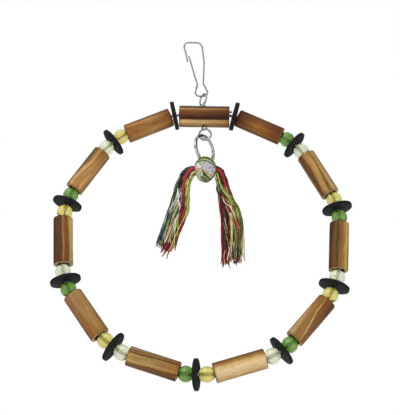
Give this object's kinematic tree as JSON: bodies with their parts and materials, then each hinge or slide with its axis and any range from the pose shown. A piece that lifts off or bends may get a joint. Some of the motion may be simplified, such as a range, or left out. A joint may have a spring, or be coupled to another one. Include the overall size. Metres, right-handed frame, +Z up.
{
  "type": "bird swing",
  "caption": "Hanging bird swing: a wire hoop threaded with scorched wooden tubes, discs and beads, hung on a snap hook, with a knotted rope inside.",
  "frame": {"origin": "inside top of the hook's bow, where it rests on its support", "axes": "+Z up, +X to the right in the front view, +Y away from the viewer, square to the hoop's plane"},
  "size_m": [0.1946, 0.0196, 0.2479],
  "materials": {
    "nickel_wire": "bright nickel-plated wire",
    "hoop_steel": "plain drawn wire",
    "ring_steel": "bright plated flat band",
    "burnt_wood": "scorched, with pale and dark streaks",
    "black_leather": "matt black with soft edges",
    "yellow_bead": "transparent yellow plastic",
    "clear_bead": "transparent, faintly yellow-green",
    "green_bead": "translucent green plastic",
    "rope_yarn": "loose cotton yarns of many colours"
  },
  "bodies": {
    "hook": {"hook_wire": "nickel_wire"},
    "gate": {"hook_gate": "nickel_wire"},
    "pin": {"eye_pin": "nickel_wire"},
    "hoop": {"hoop_wire": "hoop_steel", "wood_tube_top": "burnt_wood"},
    "ring": {"split_ring": "ring_steel", "rope_knot": "rope_yarn"},
    "left_tail": {"rope_tail_left": "rope_yarn"},
    "right_tail": {"rope_tail_right": "rope_yarn"},
    "wood_tube_01": {"wood_tube_01": "burnt_wood"},
    "wood_tube_02": {"wood_tube_02": "burnt_wood"},
    "wood_tube_03": {"wood_tube_03": "burnt_wood"},
    "wood_tube_04": {"wood_tube_04": "burnt_wood"},
    "wood_tube_05": {"wood_tube_05": "burnt_wood"},
    "wood_tube_06": {"wood_tube_06": "burnt_wood"},
    "wood_tube_07": {"wood_tube_07": "burnt_wood"},
    "wood_tube_08": {"wood_tube_08": "burnt_wood"},
    "wood_tube_09": {"wood_tube_09": "burnt_wood"},
    "wood_tube_10": {"wood_tube_10": "burnt_wood"},
    "disc_01": {"disc_01": "black_leather"},
    "disc_02": {"disc_02": "black_leather"},
    "disc_03": {"disc_03": "black_leather"},
    "disc_04": {"disc_04": "black_leather"},
    "disc_05": {"disc_05": "black_leather"},
    "disc_06": {"disc_06": "black_leather"},
    "disc_07": {"disc_07": "black_leather"},
    "disc_08": {"disc_08": "black_leather"},
    "disc_09": {"disc_09": "black_leather"},
    "disc_10": {"disc_10": "black_leather"},
    "disc_11": {"disc_11": "black_leather"},
    "bead_01_yellow": {"bead_01_yellow": "yellow_bead"},
    "bead_02_clear": {"bead_02_clear": "clear_bead"},
    "bead_03_green": {"bead_03_green": "green_bead"},
    "bead_04_yellow": {"bead_04_yellow": "yellow_bead"},
    "bead_05_clear": {"bead_05_clear": "clear_bead"},
    "bead_06_green": {"bead_06_green": "green_bead"},
    "bead_07_yellow": {"bead_07_yellow": "yellow_bead"},
    "bead_08_clear": {"bead_08_clear": "clear_bead"},
    "bead_09_green": {"bead_09_green": "green_bead"},
    "bead_10_yellow": {"bead_10_yellow": "yellow_bead"},
    "bead_11_clear": {"bead_11_clear": "clear_bead"},
    "bead_12_green": {"bead_12_green": "green_bead"},
    "bead_13_yellow": {"bead_13_yellow": "yellow_bead"},
    "bead_14_clear": {"bead_14_clear": "clear_bead"},
    "bead_15_green": {"bead_15_green": "green_bead"},
    "bead_16_yellow": {"bead_16_yellow": "yellow_bead"},
    "bead_17_clear": {"bead_17_clear": "clear_bead"},
    "bead_18_green": {"bead_18_green": "green_bead"}
  },
  "joints": [
    {"name": "gate_open", "type": "hinge", "parent": "hook", "child": "gate", "pos_m": [0.0049, 0, -0.0342], "axis": [0, 1, 0], "range_deg": [0, 14], "stiffness_Nm_per_rad": 0.45},
    {"name": "hoop_swing", "type": "hinge", "parent": "hook", "child": "pin", "pos_m": [0.0091, 0, -0.04355], "axis": [1, 0, 0], "range_deg": [-45, 45]},
    {"name": "hoop_swivel", "type": "hinge", "parent": "pin", "child": "hoop", "pos_m": [0.0103, 0, -0.0597], "axis": [0, 0, 1], "continuous": true},
    {"name": "left_tail_sway", "type": "hinge", "parent": "ring", "child": "left_tail", "pos_m": [0.00206, 0, -0.10247], "axis": [0, 1, 0], "range_deg": [-8, 25], "stiffness_Nm_per_rad": 0.05},
    {"name": "right_tail_sway", "type": "hinge", "parent": "ring", "child": "right_tail", "pos_m": [0.02204, 0, -0.10247], "axis": [0, -1, 0], "range_deg": [-8, 25], "stiffness_Nm_per_rad": 0.05},
    {"name": "ring_swing", "type": "hinge", "parent": "pin", "child": "ring", "pos_m": [0.0111, 0, -0.0775], "axis": [1, 0, 0], "range_deg": [-40, 40]},
    {"name": "spin_tube_01", "type": "hinge", "parent": "hoop", "child": "wood_tube_01", "pos_m": [-0.0272, 0, -0.06734], "axis": [-0.9047, 0, -0.4261], "continuous": true},
    {"name": "spin_tube_02", "type": "hinge", "parent": "hoop", "child": "wood_tube_02", "pos_m": [-0.06563, 0, -0.10245], "axis": [-0.5203, 0, -0.854], "continuous": true},
    {"name": "spin_tube_03", "type": "hinge", "parent": "hoop", "child": "wood_tube_03", "pos_m": [-0.07751, 0, -0.15313], "axis": [0.0979, 0, -0.9952], "continuous": true},
    {"name": "spin_tube_04", "type": "hinge", "parent": "hoop", "child": "wood_tube_04", "pos_m": [-0.05868, 0, -0.20167], "axis": [0.5989, 0, -0.8008], "continuous": true},
    {"name": "spin_tube_05", "type": "hinge", "parent": "hoop", "child": "wood_tube_05", "pos_m": [-0.01573, 0, -0.23107], "axis": [0.9586, 0, -0.2849], "continuous": true},
    {"name": "spin_tube_06", "type": "hinge", "parent": "hoop", "child": "wood_tube_06", "pos_m": [0.03633, 0, -0.23107], "axis": [0.9519, 0, 0.3064], "continuous": true},
    {"name": "spin_tube_07", "type": "hinge", "parent": "hoop", "child": "wood_tube_07", "pos_m": [0.07928, 0, -0.20167], "axis": [0.6409, 0, 0.7677], "continuous": true},
    {"name": "spin_tube_08", "type": "hinge", "parent": "hoop", "child": "wood_tube_08", "pos_m": [0.09811, 0, -0.15313], "axis": [0.0531, 0, 0.9986], "continuous": true},
    {"name": "spin_tube_09", "type": "hinge", "parent": "hoop", "child": "wood_tube_09", "pos_m": [0.08624, 0, -0.10245], "axis": [-0.4814, 0, 0.8765], "continuous": true},
    {"name": "spin_tube_10", "type": "hinge", "parent": "hoop", "child": "wood_tube_10", "pos_m": [0.04781, 0, -0.06734], "axis": [-0.9023, 0, 0.4311], "continuous": true},
    {"name": "spin_disc_01", "type": "hinge", "parent": "hoop", "child": "disc_01", "pos_m": [-0.01008, 0, -0.05932], "axis": [-0.9727, 0.0523, -0.2261], "continuous": true},
    {"name": "spin_disc_02", "type": "hinge", "parent": "hoop", "child": "disc_02", "pos_m": [-0.0504, 0, -0.08053], "axis": [-0.7383, 0, -0.6745], "continuous": true},
    {"name": "spin_disc_03", "type": "hinge", "parent": "hoop", "child": "disc_03", "pos_m": [-0.07732, 0, -0.12645], "axis": [-0.262, 0, -0.9651], "continuous": true},
    {"name": "spin_disc_04", "type": "hinge", "parent": "hoop", "child": "disc_04", "pos_m": [-0.0736, 0, -0.17954], "axis": [0.2958, 0, -0.9552], "continuous": true},
    {"name": "spin_disc_05", "type": "hinge", "parent": "hoop", "child": "disc_05", "pos_m": [-0.04054, 0, -0.22124], "axis": [0.8252, 0, -0.5649], "continuous": true},
    {"name": "spin_disc_06", "type": "hinge", "parent": "hoop", "child": "disc_06", "pos_m": [0.0103, 0, -0.23698], "axis": [0.9877, -0.1564, 0], "continuous": true},
    {"name": "spin_disc_07", "type": "hinge", "parent": "hoop", "child": "disc_07", "pos_m": [0.06114, 0, -0.22124], "axis": [0.7616, 0, 0.6481], "continuous": true},
    {"name": "spin_disc_08", "type": "hinge", "parent": "hoop", "child": "disc_08", "pos_m": [0.09421, 0, -0.17954], "axis": [0.2958, 0, 0.9552], "continuous": true},
    {"name": "spin_disc_09", "type": "hinge", "parent": "hoop", "child": "disc_09", "pos_m": [0.09793, 0, -0.12645], "axis": [-0.2282, 0, 0.9736], "continuous": true},
    {"name": "spin_disc_10", "type": "hinge", "parent": "hoop", "child": "disc_10", "pos_m": [0.07101, 0, -0.08053], "axis": [-0.7614, 0, 0.6483], "continuous": true},
    {"name": "spin_disc_11", "type": "hinge", "parent": "hoop", "child": "disc_11", "pos_m": [0.03068, 0, -0.05932], "axis": [-0.9703, -0.0872, 0.2256], "continuous": true},
    {"name": "spin_bead_01", "type": "hinge", "parent": "hoop", "child": "bead_01_yellow", "pos_m": [-0.0456, 0, -0.07645], "axis": [-0.7837, 0, -0.6212], "continuous": true},
    {"name": "spin_bead_02", "type": "hinge", "parent": "hoop", "child": "bead_02_clear", "pos_m": [-0.05491, 0, -0.08495], "axis": [-0.6892, 0, -0.7245], "continuous": true},
    {"name": "spin_bead_03", "type": "hinge", "parent": "hoop", "child": "bead_03_green", "pos_m": [-0.07567, 0, -0.12036], "axis": [-0.2957, 0, -0.9553], "continuous": true},
    {"name": "spin_bead_04", "type": "hinge", "parent": "hoop", "child": "bead_04_yellow", "pos_m": [-0.07855, 0, -0.13263], "axis": [-0.1594, 0, -0.9872], "continuous": true},
    {"name": "spin_bead_05", "type": "hinge", "parent": "hoop", "child": "bead_05_clear", "pos_m": [-0.07568, 0, -0.17358], "axis": [0.2956, 0, -0.9553], "continuous": true},
    {"name": "spin_bead_06", "type": "hinge", "parent": "hoop", "child": "bead_06_green", "pos_m": [-0.07112, 0, -0.18533], "axis": [0.4261, 0, -0.9047], "continuous": true},
    {"name": "spin_bead_07", "type": "hinge", "parent": "hoop", "child": "bead_07_yellow", "pos_m": [-0.04561, 0, -0.2175], "axis": [0.7836, 0, -0.6213], "continuous": true},
    {"name": "spin_bead_08", "type": "hinge", "parent": "hoop", "child": "bead_08_clear", "pos_m": [-0.03522, 0, -0.22462], "axis": [0.8627, 0, -0.5058], "continuous": true},
    {"name": "spin_bead_09", "type": "hinge", "parent": "hoop", "child": "bead_09_green", "pos_m": [0.004, 0, -0.23676], "axis": [0.9975, 0, -0.07], "continuous": true},
    {"name": "spin_bead_10", "type": "hinge", "parent": "hoop", "child": "bead_10_yellow", "pos_m": [0.0166, 0, -0.23676], "axis": [0.9975, 0, 0.07], "continuous": true},
    {"name": "spin_bead_11", "type": "hinge", "parent": "hoop", "child": "bead_11_clear", "pos_m": [0.05582, 0, -0.22462], "axis": [0.8627, 0, 0.5058], "continuous": true},
    {"name": "spin_bead_12", "type": "hinge", "parent": "hoop", "child": "bead_12_green", "pos_m": [0.06622, 0, -0.2175], "axis": [0.7836, 0, 0.6213], "continuous": true},
    {"name": "spin_bead_13", "type": "hinge", "parent": "hoop", "child": "bead_13_yellow", "pos_m": [0.09172, 0, -0.18533], "axis": [0.4261, 0, 0.9047], "continuous": true},
    {"name": "spin_bead_14", "type": "hinge", "parent": "hoop", "child": "bead_14_clear", "pos_m": [0.09628, 0, -0.17358], "axis": [0.2956, 0, 0.9553], "continuous": true},
    {"name": "spin_bead_15", "type": "hinge", "parent": "hoop", "child": "bead_15_green", "pos_m": [0.09915, 0, -0.13263], "axis": [-0.1594, 0, 0.9872], "continuous": true},
    {"name": "spin_bead_16", "type": "hinge", "parent": "hoop", "child": "bead_16_yellow", "pos_m": [0.09628, 0, -0.12036], "axis": [-0.2957, 0, 0.9553], "continuous": true},
    {"name": "spin_bead_17", "type": "hinge", "parent": "hoop", "child": "bead_17_clear", "pos_m": [0.07551, 0, -0.08495], "axis": [-0.6892, 0, 0.7245], "continuous": true},
    {"name": "spin_bead_18", "type": "hinge", "parent": "hoop", "child": "bead_18_green", "pos_m": [0.06621, 0, -0.07645], "axis": [-0.7837, 0, 0.6212], "continuous": true}
  ]
}
